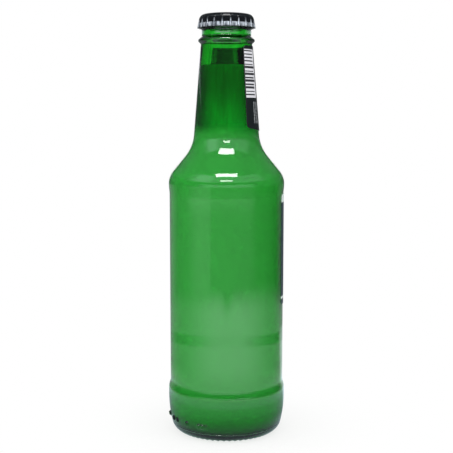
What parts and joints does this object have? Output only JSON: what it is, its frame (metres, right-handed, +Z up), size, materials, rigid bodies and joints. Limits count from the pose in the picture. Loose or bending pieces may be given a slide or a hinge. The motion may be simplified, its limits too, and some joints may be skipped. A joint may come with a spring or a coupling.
{
  "type": "glass soda bottle",
  "caption": "Long-neck glass soda bottle, filled, with a fluted crown cap that lifts off, a wrapped neck label, a body label and a knurled ring to stand on.",
  "frame": {"origin": "centre of the bearing ring that the bottle stands on, on the bottle's axis", "axes": "+Z up along the bottle's axis to the cap; -Y is the side the picture was taken from"},
  "size_m": [0.0602, 0.0602, 0.2134],
  "materials": {
    "green_glass": "polished",
    "drink": "gloss",
    "crown_lacquer": "gloss",
    "liner": "satin",
    "neck_label_paper": "satin",
    "body_label_paper": "satin",
    "glue": "satin"
  },
  "bodies": {
    "bottle": {"glass_bottle": "green_glass", "drink": "drink", "neck_label": "neck_label_paper", "neck_label_glue": "glue", "body_label": "body_label_paper", "body_label_glue": "glue"},
    "cap": {"crown_shell": "crown_lacquer", "crown_liner": "liner"}
  },
  "joints": [
    {"name": "cap_lift", "type": "slide", "parent": "bottle", "child": "cap", "axis": [0, 0, 1], "range_m": [0, 0.06]}
  ]
}
